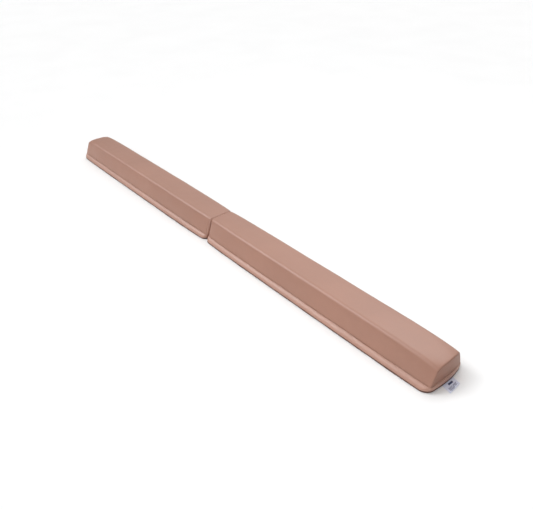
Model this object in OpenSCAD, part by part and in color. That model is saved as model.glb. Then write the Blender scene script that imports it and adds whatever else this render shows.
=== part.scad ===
// Folding floor balance beam: two padded halves, end to end, joined by a sewn fold.
// X runs along the beam, Z is up, and the origin is on the floor below the fold.
// The right half (+X) carries the care label; the left half mirrors it.

/* [Beam] */
// Length of the opened beam over its foot bands
total_len = 2100; // [1200:10:2400]
// Height to the top of the cover
beam_h = 85; // [70:1:110]
// Width across the top, where the planes of the walls and the top meet
top_w = 102; // [90:1:130]
// Width across the seam above the foot band
seam_w = 150; // [140:1:166]
// Width over the foot binding
foot_w = 180; // [176:1:210]

/* [Cover] */
// Thickness of the vinyl cover
cover_t = 1.2; // [0.8:0.1:1.6]
// Radius of the long top edges
edge_r = 13; // [6:1:18]
// Height of the seam above the foot band
seam_z = 19; // [16:1:24]
// How far the foot band flares past the outer end panel
end_flare = 6; // [4:1:20]
// How far the middle of the foot's outer end bows out past its corners
end_bow = 8; // [0:1:16]
// Plan radius of the foot at the two outer corners
foot_r = 26; // [12:1:30]
// Plan radius of the foot at the two fold corners
heel_r = 22; // [5:1:24]

/* [Binding] */
// Height of the binding's top edge
bind_z = 5; // [4:0.5:7]
// Clearance from the floor to the binding
bind_lift = 0.5; // [0.3:0.1:1]
// How far the binding stands out past the foot band
bind_out = 0.6; // [0.3:0.1:1]

/* [Foam] */
// Depth of the soft top pad, from the top of the cover down to the firm core
pad_t = 15; // [15:1:30]

/* [Fold] */
// Gap between the two halves
fold_gap = 2; // [1.8:0.1:4]
// Thickness of the hinge tape
tape_t = 0.8; // [0.5:0.1:0.8]
// How far the tape is sewn down each inner end panel
tape_drop = 12; // [8:1:20]
// Depth of the tape's bridge below the top of the cover
tape_sink = 0.5; // [0.3:0.1:2]

/* [Zipper] */
// Distance from the zipper's ends to the fold and to the outer end
zip_inset = 60; // [45:5:150]
// Width of the zipper tape
zip_w = 10; // [9:0.5:12]
// Width of the closed coil
coil_w = 4.4; // [4:0.1:4.6]
// Length of the pull tab from its pin
pull_len = 28; // [20:1:36]

/* [Care label] */
// Width of the care label
label_w = 50; // [30:1:60]
// How far the care label reaches past the binding
label_out = 20; // [10:1:40]
// Offset of the care label from the middle of the end
label_y = 1; // [-20:1:20]

/* [Hidden] */

half_len = total_len / 2;
pad_z = beam_h - pad_t;
x_in = fold_gap / 2;
x_out = half_len - end_flare;
corner_n = 8;
bow_n = 8;
seam_r = 3;
cut = 1;

// Wall: a plane from the seam up to the virtual edge of the top
tilt = atan2((seam_w - top_w) / 2, beam_h - seam_z);
edge_z = beam_h - edge_r;
edge_y = wall_y(edge_z) - edge_r / cos(tilt);

// Foot band: a slope from the seam down and out to the binding
band_hw = foot_w / 2 - bind_out;
band_run = band_hw - seam_w / 2;
band_fall = seam_z - bind_z;
band_elev = atan2(band_run, band_fall);
slope_in = cover_t / cos(band_elev);

// Zipper: its frame lies in the slope of the back foot band
zip_x0 = zip_inset;
zip_x1 = half_len - zip_inset;
zip_y = (band_hw + seam_w / 2) / 2 - cover_t * cos(band_elev);
zip_z = (seam_z + bind_z) / 2 - cover_t * sin(band_elev);
slot_play = 0.1;
zip_t = 0.8;
coil_t = 1.6;
stop_len = 4;
stop_w = 7;
stop_t = 2.2;
slider_x = zip_x1 - 20;
slider_l = 10;
slider_w = 8;
flange_t = 1.2;
wing_z = 2.7;
wing_t = 1.3;
flange_z = 1.3;
post_u = 2.6;
post_t = 1;
post_w = 2.4;
post_top = 6.2;
bar_t = 1;
pin_z = 5.1;
pin_r = 0.6;
eye_r = 0.8;
pull_t = 1;
pull_w = 6;
arm_w = 1.2;
arm_l = 5;
tip_r = 3;

rose = [0.70, 0.50, 0.44];
rose_light = [0.77, 0.60, 0.54];
rose_dark = [0.52, 0.36, 0.31];

function wall_y(z) = top_w / 2 + (beam_h - z) * tan(tilt);

function arc(c, r, a0, a1) = [
    for (i = [0:corner_n])
        let(a = a0 + (a1 - a0) * i / corner_n) c + r * [cos(a), sin(a)]
];

function flip(pts) = [for (i = [len(pts) - 1:-1:0]) [-pts[i][0], pts[i][1]]];

// Right side of the section from height z up to the top, inset by d
function side(d, z) = concat(
    [[wall_y(z) - d / cos(tilt), z]],
    arc([edge_y, edge_z], edge_r - d, tilt, 90)
);

function section(d, z) = concat(side(d, z), flip(side(d, z)));

function bowed(pts, hw, bow) = [for (p = pts) [p[0] - bow * pow(p[1] / hw, 2), p[1]]];

// Plan outline of a half, with fold corners r0, outer corners r1 and a bowed outer end
function plan(x0, x1, hw, r0, r1, bow) = concat(
    arc([x0 + r0, r0 - hw], r0, 180, 270),
    bowed(concat(
        arc([x1 - r1, r1 - hw], r1, 270, 360),
        [for (i = [1:bow_n - 1]) [x1, (hw - r1) * (2 * i / bow_n - 1)]],
        arc([x1 - r1, hw - r1], r1, 0, 90)
    ), hw, bow),
    arc([x0 + r0, hw - r0], r0, 90, 180)
);

function mix(a, b, t) = a + (b - a) * t;

// Outline of the foot at height z: d insets the slopes, e insets the fold end
function foot(z, d, e) =
    let(t = (seam_z - z) / band_fall)
    plan(
        x_in + e, mix(x_out, half_len - bind_out, t) - d,
        mix(seam_w / 2, band_hw, t) - d,
        mix(seam_r, heel_r, t) - d, mix(seam_r, foot_r, t) - d, end_bow * t
    );

// Solid between plan outlines that have the same number of points
module loft(z, plans) {
    n = len(plans[0]);
    k = len(z);
    polyhedron(
        points = [for (i = [0:k - 1]) for (p = plans[i]) [p[0], p[1], z[i]]],
        faces = concat(
            [[for (j = [0:n - 1]) j]],
            [[for (j = [n - 1:-1:0]) (k - 1) * n + j]],
            [for (i = [0:k - 2]) for (j = [0:n - 1])
                let(a = i * n + j, b = i * n + (j + 1) % n)
                each [[a, a + n, b], [b, a + n, b + n]]]
        )
    );
}

// Closed ring between an outer and an inner pair of outlines, at two heights
module loft_ring(z, outer, inner) {
    n = len(outer[0]);
    rings = [outer[0], outer[1], inner[0], inner[1]];
    low = 0;
    high = n;
    low_in = 2 * n;
    high_in = 3 * n;
    polyhedron(
        points = [for (i = [0:3]) for (p = rings[i]) [p[0], p[1], z[i % 2]]],
        faces = [for (j = [0:n - 1])
            let(k = (j + 1) % n)
            each [
                [low + j, high + j, low + k],
                [low + k, high + j, high + k],
                [low_in + k, high_in + j, low_in + j],
                [high_in + k, high_in + j, low_in + k],
                [high + j, high_in + j, high_in + k, high + k],
                [low + k, low_in + k, low_in + j, low + j]
            ]]
    );
}

module along_x(x0, x1) {
    translate([x0, 0, 0])
        rotate([90, 0, 90])
            linear_extrude(height = x1 - x0) children();
}

// Frame of the zipper: X along the beam, Y down the slope, Z out of it
module on_slope(x) {
    translate([x, zip_y, zip_z])
        rotate([band_elev - 90, 0, 0]) children();
}

// Box in the zipper's frame, centred across the slope
module strip(x0, x1, w, z0, z1) {
    translate([x0, -w / 2, z0]) cube([x1 - x0, w, z1 - z0]);
}

// Closed-cell foam slab that fills the flared foot
module right_base_core() {
    rim = foot(bind_z, slope_in, cover_t);
    color([0.93, 0.91, 0.86])
        loft([cover_t, bind_z, seam_z], [rim, rim, foot(seam_z, slope_in, cover_t)]);
}

// Firm foam core with the trapezoid section
module right_main_core() {
    color([0.95, 0.94, 0.90])
        along_x(x_in + cover_t, x_out - cover_t)
            polygon([
                for (p = [[1, seam_z], [1, pad_z], [-1, pad_z], [-1, seam_z]])
                    [p[0] * (wall_y(p[1]) - cover_t / cos(tilt)), p[1]]
            ]);
}

// Softer pad under the walking surface, with the rounded long edges
module right_top_pad() {
    color([0.97, 0.90, 0.72])
        along_x(x_in + cover_t, x_out - cover_t) polygon(section(cover_t, pad_z));
}

// One vinyl panel that runs up one wall, over the top and down the other
module right_cover_wrap() {
    color(rose)
        along_x(x_in + cover_t, x_out - cover_t) difference() {
            polygon(section(0, seam_z));
            polygon(section(cover_t, seam_z - cut));
        }
}

// Vinyl end panel, sewn to the wrap along the section's outline
module end_panel(x) {
    along_x(x, x + cover_t) polygon(section(0, seam_z));
}

module right_outer_end_panel() {
    color(rose * 0.85) end_panel(x_out - cover_t);
}

module right_inner_end_panel() {
    color(rose * 0.85) end_panel(x_in);
}

// Flared vinyl foot band, with the zipper's slot in its back slope
module right_base_band() {
    ends = [bind_z, seam_z];
    color(rose_light)
        difference() {
            loft_ring(
                ends, [for (z = ends) foot(z, 0, 0)],
                [for (z = ends) foot(z, slope_in, cover_t)]
            );
            on_slope(0) strip(zip_x0, zip_x1, zip_w, -cut, 3 * cover_t);
        }
}

// Folded binding strip round the foot's lower edge
module right_base_binding() {
    color(rose_dark)
        translate([0, 0, bind_lift])
            linear_extrude(height = bind_z - bind_lift) difference() {
                polygon(plan(x_in, half_len, foot_w / 2, heel_r, foot_r, end_bow));
                polygon(foot(bind_z, slope_in, cover_t));
            }
}

// Non-slip fabric under the foot, the face that stands on the floor
module right_bottom_panel() {
    color([0.25, 0.24, 0.24])
        linear_extrude(height = cover_t) polygon(foot(bind_z, slope_in, cover_t));
}

// Woven zipper tape in the slot of the foot band
module right_zipper_tape() {
    color([0.62, 0.46, 0.41])
        on_slope(0) strip(zip_x0 + slot_play, zip_x1 - slot_play, zip_w - 2 * slot_play, 0, zip_t);
}

// Closed coil along the middle of the tape
module right_zipper_coil() {
    gap = stop_len + 2;
    color([0.58, 0.43, 0.38])
        on_slope(0) strip(zip_x0 + gap, zip_x1 - gap, coil_w, zip_t, zip_t + coil_t);
}

// Metal stops at the coil's two ends
module right_zipper_stops() {
    color([0.80, 0.79, 0.77])
        on_slope(0)
            for (x = [zip_x0 + 1, zip_x1 - 1 - stop_len])
                strip(x, x + stop_len, stop_w, zip_t, zip_t + stop_t);
}

// Slider: a wing over the coil, two flanges beside it and a bridge for the pull
module right_zipper_slider() {
    half = slider_l / 2;
    lap = 0.2;
    color([0.80, 0.79, 0.77])
        on_slope(slider_x) {
            strip(-half, half, slider_w, wing_z, wing_z + wing_t);
            for (s = [-1, 1]) {
                translate([0, s * (slider_w - flange_t) / 2, 0])
                    strip(-half, half, flange_t, flange_z, wing_z + lap);
                translate([s * (post_u + post_t / 2), 0, 0])
                    strip(-post_t / 2, post_t / 2, post_w, wing_z + wing_t - lap, post_top + lap);
            }
            strip(-post_u - post_t, post_u + post_t, post_w, post_top, post_top + bar_t);
        }
}

// Pull: a pin through the bridge, two arms and a tab that lies towards the fold
module right_zipper_pull() {
    color([0.84, 0.83, 0.81])
        on_slope(slider_x) translate([0, 0, pin_z]) {
            rotate([90, 0, 0]) cylinder(r = pin_r, h = pull_w, center = true, $fn = 32);
            for (s = [-1, 1]) translate([0, s * (pull_w - arm_w) / 2, 0]) {
                rotate([90, 0, 0]) cylinder(r = eye_r, h = arm_w, center = true, $fn = 32);
                strip(-arm_l - 1, 0, arm_w, -pull_t / 2, pull_t / 2);
            }
            translate([0, 0, -pull_t / 2]) difference() {
                union() {
                    translate([tip_r - pull_len, -pull_w / 2, 0])
                        cube([pull_len - tip_r - arm_l, pull_w, pull_t]);
                    translate([tip_r - pull_len, 0, 0]) cylinder(r = tip_r, h = pull_t, $fn = 32);
                }
                translate([tip_r - pull_len, 0, -cut])
                    cylinder(r = tip_r / 2, h = pull_t + 2 * cut, $fn = 32);
            }
        }
}

module left_base_core() { mirror([1, 0, 0]) right_base_core(); }
module left_main_core() { mirror([1, 0, 0]) right_main_core(); }
module left_top_pad() { mirror([1, 0, 0]) right_top_pad(); }
module left_cover_wrap() { mirror([1, 0, 0]) right_cover_wrap(); }
module left_outer_end_panel() { mirror([1, 0, 0]) right_outer_end_panel(); }
module left_inner_end_panel() { mirror([1, 0, 0]) right_inner_end_panel(); }
module left_base_band() { mirror([1, 0, 0]) right_base_band(); }
module left_base_binding() { mirror([1, 0, 0]) right_base_binding(); }
module left_bottom_panel() { mirror([1, 0, 0]) right_bottom_panel(); }
module left_zipper_tape() { mirror([1, 0, 0]) right_zipper_tape(); }
module left_zipper_coil() { mirror([1, 0, 0]) right_zipper_coil(); }
module left_zipper_stops() { mirror([1, 0, 0]) right_zipper_stops(); }
module left_zipper_slider() { mirror([1, 0, 0]) right_zipper_slider(); }
module left_zipper_pull() { mirror([1, 0, 0]) right_zipper_pull(); }

// Tape sewn inside the fold: a leaf on each inner end panel and a bridge between
module hinge_tape() {
    w = 2 * edge_y;
    top = beam_h - tape_sink;
    color(rose_dark)
        difference() {
            translate([-x_in, -w / 2, top - tape_drop]) cube([fold_gap, w, tape_drop]);
            translate([tape_t - x_in, -w / 2 - cut, top - tape_drop - cut])
                cube([fold_gap - 2 * tape_t, w + 2 * cut, tape_drop + cut - tape_t]);
        }
}

// Care label sewn under the binding at the right end, lying on the floor
module care_label() {
    root = half_len - bind_out - slope_in;
    color([0.95, 0.95, 0.96])
        translate([root, label_y - label_w / 2, 0])
            cube([half_len + label_out - root, label_w, bind_lift]);
}

right_base_core();
right_main_core();
right_top_pad();
right_cover_wrap();
right_outer_end_panel();
right_inner_end_panel();
right_base_band();
right_base_binding();
right_bottom_panel();
right_zipper_tape();
right_zipper_coil();
right_zipper_stops();
right_zipper_slider();
right_zipper_pull();
left_base_core();
left_main_core();
left_top_pad();
left_cover_wrap();
left_outer_end_panel();
left_inner_end_panel();
left_base_band();
left_base_binding();
left_bottom_panel();
left_zipper_tape();
left_zipper_coil();
left_zipper_stops();
left_zipper_slider();
left_zipper_pull();
hinge_tape();
care_label();
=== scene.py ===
import bpy
import bmesh
import math
import numpy as np
from mathutils import Matrix, Vector


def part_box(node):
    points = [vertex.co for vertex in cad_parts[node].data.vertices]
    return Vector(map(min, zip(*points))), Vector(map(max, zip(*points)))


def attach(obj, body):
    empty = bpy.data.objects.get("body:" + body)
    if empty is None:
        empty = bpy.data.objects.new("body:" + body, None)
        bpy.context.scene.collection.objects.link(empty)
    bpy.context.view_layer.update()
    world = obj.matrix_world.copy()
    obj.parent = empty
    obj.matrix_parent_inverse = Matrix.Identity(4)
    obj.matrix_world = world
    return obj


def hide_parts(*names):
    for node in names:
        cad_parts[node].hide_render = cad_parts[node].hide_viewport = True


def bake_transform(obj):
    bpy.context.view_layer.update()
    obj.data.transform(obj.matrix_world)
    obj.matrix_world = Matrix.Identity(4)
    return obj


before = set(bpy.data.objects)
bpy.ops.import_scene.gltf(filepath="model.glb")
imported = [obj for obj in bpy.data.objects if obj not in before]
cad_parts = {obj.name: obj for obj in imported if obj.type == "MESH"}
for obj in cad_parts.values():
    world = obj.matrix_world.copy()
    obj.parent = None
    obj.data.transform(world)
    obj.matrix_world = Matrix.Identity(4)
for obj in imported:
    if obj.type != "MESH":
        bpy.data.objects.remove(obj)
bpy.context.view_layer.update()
scene = bpy.context.scene

# ---------------- sizes from the CAD, in metres
wrap_lo, wrap_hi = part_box("right_cover_wrap")
band_lo, band_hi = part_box("right_base_band")
bind_lo, bind_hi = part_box("right_base_binding")
X_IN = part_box("right_inner_end_panel")[0].x     # the right half's fold end
X_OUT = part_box("right_outer_end_panel")[1].x    # its free end
H, SEAM_Z, SEAM_Y = wrap_hi.z, wrap_lo.z, wrap_hi.y
BAND_X, BAND_Y, BIND_Z = band_hi.x, band_hi.y, band_lo.z
FOOT_X, FOOT_Y, FOOT_Z = bind_hi.x, bind_hi.y, bind_lo.z
PAD_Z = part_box("right_top_pad")[0].z
COVER = wrap_lo.x - X_IN    # the cover's thickness in the CAD
TOP_Y = 0.051               # half the walking surface, where wall and top planes meet
EDGE_R = 0.013              # long top edges
FOOT_R = 0.026              # corners of the foot at the free end, seen from above
HEEL_R = 0.022              # the same at the fold
END_BOW = 0.008             # how far the middle of the foot's free end stands out
TILT = math.atan2(SEAM_Y - TOP_Y, H - SEAM_Z)
CT, ST = math.cos(TILT), math.sin(TILT)

# ---------------- sizes of the sewing, in metres
VINYL_T, BINDING_T, GRIP_T = 0.0009, 0.0006, 0.0010
RC_OUT = (0.0030, 0.0032)   # rounding of the outer end's edges, on the walls and on top
RC_IN = (0.0100, 0.0040)    # the same at the fold
PHI_OUT = (52.0, 60.0)      # where on that rounding the seam lies, in degrees
PHI_IN = (10.0, 36.0)
GROOVE = 0.0004             # how deep a seam line lies in its rounding
DIVE = 0.0007               # how far the cover tucks in at the seam over the foot band
DIVE_L = 0.0022
SLOT_V = 0.005              # half the width of the slot in the foot band that shows the zipper
SLOT_X = (0.060, 0.990)     # where along the back of the foot that slot starts and ends
SLOT_FLAT = (0.050, 1.000)  # where the band starts and stops lying flat for it
SLOT_FADE = 0.008
MID_X = 0.52                # about the middle of a half
SIDES = (("right", 1), ("left", -1))


def wall_y(z):
    return TOP_Y + (H - z) * math.tan(TILT)


def smooth_step(t):
    t = np.clip(t, 0, 1)
    return t * t * (3 - 2 * t)


def fade(d, *pairs):
    """Sum of amounts, each dying away over its own distance."""
    return sum(amount * np.exp(-d / reach) for amount, reach in pairs)


# ---------------- mesh helpers
def make_obj(name, verts, faces, mat=None, smooth=True, attrs=None):
    me = bpy.data.meshes.new(name)
    me.from_pydata([tuple(map(float, v)) for v in verts], [], [tuple(map(int, f)) for f in faces])
    me.update()
    if smooth:
        me.polygons.foreach_set("use_smooth", [True] * len(me.polygons))
    for key, vals in (attrs or {}).items():
        layer = me.attributes.new(key, "FLOAT", "POINT")
        layer.data.foreach_set("value", np.asarray(vals, np.float32))
    ob = bpy.data.objects.new(name, me)
    scene.collection.objects.link(ob)
    if mat:
        me.materials.append(mat)
    return ob


def grid_faces(rows, cols, off=0, wrap=False):
    i, j = np.meshgrid(np.arange(rows - 1), np.arange(cols if wrap else cols - 1), indexing="ij")
    a = off + i * cols + j
    b = off + i * cols + (j + 1) % cols
    return np.stack([a, b, b + cols, a + cols], -1).reshape(-1, 4)


def grid_normals(p, wrap=False):
    """Unit normals of a rows x cols x 3 grid."""
    du = np.gradient(p, axis=0)
    if wrap:
        dv = (np.roll(p, -1, 1) - np.roll(p, 1, 1)) / 2
    else:
        dv = np.gradient(p, axis=1)
    n = np.cross(du, dv)
    return n / np.maximum(np.linalg.norm(n, axis=-1, keepdims=True), 1e-12)


def outward(normals, points):
    """The normals, turned if they look towards the middle of the points."""
    away = points - points.reshape(-1, 3).mean(axis=0)
    return -normals if (away * normals).sum() < 0 else normals


def thicken(ob, t, offset=-1.0):
    m = ob.modifiers.new("thickness", "SOLIDIFY")
    m.thickness, m.offset, m.use_rim, m.use_even_offset = t, offset, True, False
    return ob


def apply_mods(ob):
    dg = bpy.context.evaluated_depsgraph_get()
    me = bpy.data.meshes.new_from_object(ob.evaluated_get(dg))
    old = ob.data
    ob.modifiers.clear()
    ob.data = me
    me.name = ob.name
    bpy.data.meshes.remove(old)
    return ob


def merged(parts):
    """One (verts, faces) pair from a list of them."""
    verts, faces, off = [], [], 0
    for v, f in parts:
        verts.append(v)
        faces += [tuple(int(k) + off for k in q) for q in f]
        off += len(v)
    return np.vstack(verts), faces


def edit(ob, step):
    """Runs one bmesh step on the object's mesh."""
    bm = bmesh.new()
    bm.from_mesh(ob.data)
    step(bm)
    bm.to_mesh(ob.data)
    bm.free()


def weld(ob, dist=1e-6):
    edit(ob, lambda bm: bmesh.ops.remove_doubles(bm, verts=bm.verts, dist=dist))


def facing_out(ob, centre):
    """Flips the mesh if its faces look towards the centre."""
    me = ob.data
    n = np.zeros(len(me.polygons) * 3)
    c = np.zeros(len(me.polygons) * 3)
    a = np.zeros(len(me.polygons))
    me.polygons.foreach_get("normal", n)
    me.polygons.foreach_get("center", c)
    me.polygons.foreach_get("area", a)
    n, c = n.reshape(-1, 3), c.reshape(-1, 3)
    if (a[:, None] * n * (c - np.array(centre))).sum() < 0:
        me.flip_normals()
    return ob


def flipped(verts, faces, s):
    """Mirrors a right-half mesh for the left half, with its faces turned the right way."""
    if s > 0:
        return verts, faces
    return np.array(verts) * [-1, 1, 1], [tuple(f)[::-1] for f in faces]


def shell(name, mesh, s, mat, thickness, centre=None):
    """A thin panel from a right-half mesh (verts, faces and perhaps a painted seam shade mask)."""
    verts, faces = flipped(mesh[0], mesh[1], s)
    attrs = {"seam": mesh[2]} if len(mesh) > 2 else None
    ob = make_obj(name, verts, faces, MAT[mat], attrs=attrs)
    facing_out(ob, centre or (s * MID_X, 0, 0.03))
    return thicken(ob, thickness)


def place(ob, body, replaced=None):
    """Rides the piece on its body, and hides the CAD node it stands for."""
    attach(ob, body)
    if replaced:
        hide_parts(replaced)


class Waves:
    """Smooth seeded unevenness: a sum of plane waves over two coordinates."""

    def __init__(self, seed, lo, hi, n, squash=1.0):
        r = np.random.default_rng(seed)
        lam = np.exp(r.uniform(math.log(lo), math.log(hi), n))
        ang = r.uniform(0, math.pi, n)
        self.k = np.stack([np.cos(ang) / lam, np.sin(ang) / (lam * squash)], 1) * 2 * math.pi
        self.ph = r.uniform(0, 2 * math.pi, n)
        self.w = (lam / hi) ** 0.7
        self.w = self.w / math.sqrt((self.w ** 2).sum() / 2)

    def __call__(self, u, v):
        u, v = np.broadcast_arrays(np.asarray(u, float), np.asarray(v, float))
        out = np.zeros(u.shape)
        for k, ph, w in zip(self.k, self.ph, self.w):
            out += w * np.sin(k[0] * u + k[1] * v + ph)
        return out

# ---------------- shape of a half
# rows of the mesh up a wall, as shares of its height
WALL_F = np.array([0, .012, .028, .05, .08, .12, .17, .24, .32, .41, .51, .62, .73, .83, .92])
ARC_N, TOP_N = 10, 20           # steps round a long edge and across the top
HALF = len(WALL_F) + ARC_N + 1  # points from a seam to the end of its long edge
M = 2 * HALF + TOP_N - 1


def outline(n=0.0):
    """Section of the cover at inset n, up one wall, over the top and down: points and normals (y, z)."""
    n = np.broadcast_to(np.asarray(n, float), (M,))
    cz = H - EDGE_R
    cy = wall_y(cz) - EDGE_R / CT
    pts, nor = np.zeros((M, 2)), np.zeros((M, 2))
    for i in range(M):
        j = min(i, M - 1 - i)
        r = max(EDGE_R - n[i], 0.0006)
        if j < len(WALL_F):
            z = SEAM_Z + (cz + r * ST - SEAM_Z) * WALL_F[j]
            y, dy, dz = wall_y(z) - n[i] / CT, CT, ST
        elif j < HALF:
            a = TILT + (math.pi / 2 - TILT) * (j - len(WALL_F)) / ARC_N
            y, z, dy, dz = cy + r * math.cos(a), cz + r * math.sin(a), math.cos(a), math.sin(a)
        else:
            y, z, dy, dz = cy * (1 - 2 * (j - HALF + 1) / TOP_N), H - n[i], 0.0, 1.0
        k = -1 if i < HALF or i == j else 1
        pts[i] = (k * y, z)
        nor[i] = (k * dy, dz)
    return pts, nor


OUT0, NOR0 = outline()
ARC_S = np.concatenate([[0], np.cumsum(np.linalg.norm(np.diff(OUT0, axis=0), axis=1))])
TOPNESS = smooth_step((NOR0[:, 1] - ST) / (1 - ST))


def by_side(pair):
    """A value for each point of the outline: the first on the walls, the second on top."""
    return pair[0] + (pair[1] - pair[0]) * TOPNESS


def corner(rc, seam, share, after=False):
    """Rounding between cover and end panel: distance from the end plane, inset and angle at each point.
    share runs from 0 at the cover's flat to 1 at the seam or, after it, from the seam to the end's flat."""
    rc, seam = by_side(rc), by_side(seam)
    ph = np.radians(seam + (90 - seam) * share if after else seam * share)
    g = GROOVE * np.exp(-(np.degrees(ph) - seam) ** 2 / 120.0)
    return rc - (rc - g) * np.sin(ph), rc - (rc - g) * np.cos(ph), ph


def tuck(rc, seam, depth):
    e, n, ph = corner(rc, seam, 1.0)
    return e + depth * np.sin(ph), n + depth * np.cos(ph), ph

# how the stuffed cover gives way towards its ends: amounts, and the distances they die away over
NARROW_IN, NARROW_OUT = (0.0042, 0.060), (0.0018, 0.050)
DROP_OUT = (0.0044, 0.070), (0.0032, 0.028)
DROP_IN = (0.0014, 0.050), (0.0008, 0.014)
RIM_FRONT, RIM_BACK, RIM_FADE = 0.0050, 0.0025, 0.045   # extra droop of the long edges by the free end
BOW_MID, BOW_SIDE = 0.0018, 0.0030                      # the free end stands out in the middle
SKEW, SKEW_BACK, SKEW_FRONT = -0.0010, 0.0040, 0.015    # and its back corner is pulled in
SKEW_FADE = 0.025
LEAN, LEAN_FADE = 0.0030, 0.040                         # the fold ends lean apart towards the floor


def pillow(p):
    """Overall shape of the stuffed cover: ends and edges pulled in by the seams, the rest filled out."""
    q = p.copy()
    x, y, z = p[..., 0], p[..., 1], p[..., 2]
    e_out = np.maximum(X_OUT - x, 0)
    e_in = np.maximum(x - X_IN, 0)
    u = np.clip(e_in / (X_OUT - X_IN), 0, 1)
    mid = 4 * u * (1 - u)
    w = np.clip((z - SEAM_Z) / (H - SEAM_Z), 0, 1)
    wide = 0.0010 * mid - 0.0006 - fade(e_in, NARROW_IN) - fade(e_out, NARROW_OUT)
    q[..., 1] = y * (1 + wide / SEAM_Y)
    drop = fade(e_out, *DROP_OUT) + fade(e_in, *DROP_IN)
    drop = drop + 0.0009 * np.clip(np.abs(y) / 0.05, 0, 1.2) ** 2 + 0.0004 * (1 - mid)
    rim = smooth_step((np.abs(y) - 0.02) / 0.035) * np.exp(-e_out / RIM_FADE)
    rim = rim * np.where(y < 0, RIM_FRONT, RIM_BACK)
    q[..., 1] += np.sign(y) * rim * w * math.tan(TILT)
    q[..., 2] = z - (drop + rim) * w
    body = np.clip((z - BIND_Z) / (SEAM_Z - BIND_Z), 0, 1)
    bow = BOW_MID - BOW_SIDE * (np.clip(np.abs(y), 0, 0.08) / 0.075) ** 2
    skew = SKEW - SKEW_BACK * (np.clip(y, 0, 0.085) / 0.06) ** 1.5 + SKEW_FRONT * np.clip(-y, 0, 0.085)
    lean = LEAN * np.clip(1 - z / H, 0, 1)
    q[..., 0] = x + (bow * body + skew) * np.exp(-e_out / SKEW_FADE) + lean * np.exp(-e_in / LEAN_FADE)
    return q


def dive(d):
    return DIVE * np.exp(-(np.maximum(d, 0) / DIVE_L) ** 1.3)


def wrap_mesh(seed):
    """The one panel that runs up a wall, over the top and down the other wall."""
    flat = np.zeros(M)
    shares = (1, .93, .84, .72, .57, .40, .20, 0)
    tucks = (.0045, .0015)
    by_end = (.0012, .0028, .0048, .0074, .0106, .0144, .0188)
    margin, rows_between = 0.023, 236
    x0, x1 = X_IN + by_side(RC_IN), X_OUT - by_side(RC_OUT)
    at_fold = [tuck(RC_IN, PHI_IN, d) for d in tucks] + [corner(RC_IN, PHI_IN, k) for k in shares]
    at_end = [corner(RC_OUT, PHI_OUT, k) for k in shares[::-1]]
    at_end += [tuck(RC_OUT, PHI_OUT, d) for d in tucks[::-1]]
    st = [(X_IN + e, n, -a) for e, n, a in at_fold]
    st += [(x0 + g, flat, flat) for g in by_end]
    st += [(x0 + margin + (x1 - x0 - 2 * margin) * k, flat, flat) for k in np.linspace(0, 1, rows_between)]
    st += [(x1 - g, flat, flat) for g in by_end[::-1]]
    st += [(X_OUT - e, n, a) for e, n, a in at_end]
    rows = len(st)
    P = np.zeros((rows, M + 2, 3))
    N = np.zeros((rows, M + 2, 3))
    for i, (x, n, a) in enumerate(st):
        o, q = outline(n)
        P[i, 1:-1, 0] = x
        P[i, 1:-1, 1:] = o
        N[i, 1:-1, 0] = np.sin(a)
        N[i, 1:-1, 1:] = q * np.cos(a)[:, None]
    x = P[:, 1:-1, 0]
    s = np.broadcast_to(ARC_S, x.shape)
    d = np.minimum(s, ARC_S[-1] - s)
    e_out, e_in = np.maximum(X_OUT - x, 0), np.maximum(x - X_IN, 0)
    up_wall = np.clip((P[:, 1:-1, 2] - SEAM_Z) / (H - SEAM_Z), 0, 1)
    side = np.abs(N[:, 1:-1, 1])
    ends = np.minimum(1, np.minimum(e_out, e_in) / 0.03)
    # walls slightly full, then broad and fine unevenness, then puckers along each seam
    f = 0.0010 * side * np.sin(np.pi * np.clip(up_wall * 1.05, 0, 1)) * ends
    f = f + 0.00022 * Waves(seed, .12, .42, 9, .6)(x, s) * ends
    f = f + 0.00006 * Waves(seed + 1, .030, .070, 10)(x, s) * ends
    amp = np.clip(0.6 + 0.5 * Waves(seed + 2, .10, .3, 4)(x, s * 0), 0.1, 1.5)
    f = f + 0.00018 * amp * np.exp(-d / 0.010) * Waves(seed + 3, .013, .026, 6)(x, s * 0)
    f = f + 0.00020 * np.exp(-e_out / 0.012) * Waves(seed + 4, .011, .022, 6)(s, s * 0)
    f = f + 0.00018 * np.exp(-e_in / 0.010) * Waves(seed + 5, .011, .024, 6)(s, s * 0)
    f = f - dive(d)
    P[:, 1:-1] += N[:, 1:-1] * f[..., None]
    # the hem inside the foot band
    P[:, 0] = P[:, 1] + np.array([0, 0.0045, -0.0003])
    P[:, -1] = P[:, -2] + np.array([0, -0.0045, -0.0003])
    # painted shade in the seam creases, by distance from the nearest one
    line = np.full(rows, 9.0)
    line[[0, 1, 2, -3, -2, -1]] = 0.0
    line[[3, -4]] = 0.0007
    line[[4, -5]] = 0.0015
    seam = np.ones((rows, M + 2))
    seam[:, 1:-1] = np.exp(-(np.minimum(d, line[:, None]) / 0.0014) ** 2)
    P = pillow(P)
    P[..., 2] = np.minimum(P[..., 2], H + 0.0002)
    return P.reshape(-1, 3), grid_faces(rows, M + 2), seam.reshape(-1)


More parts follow.
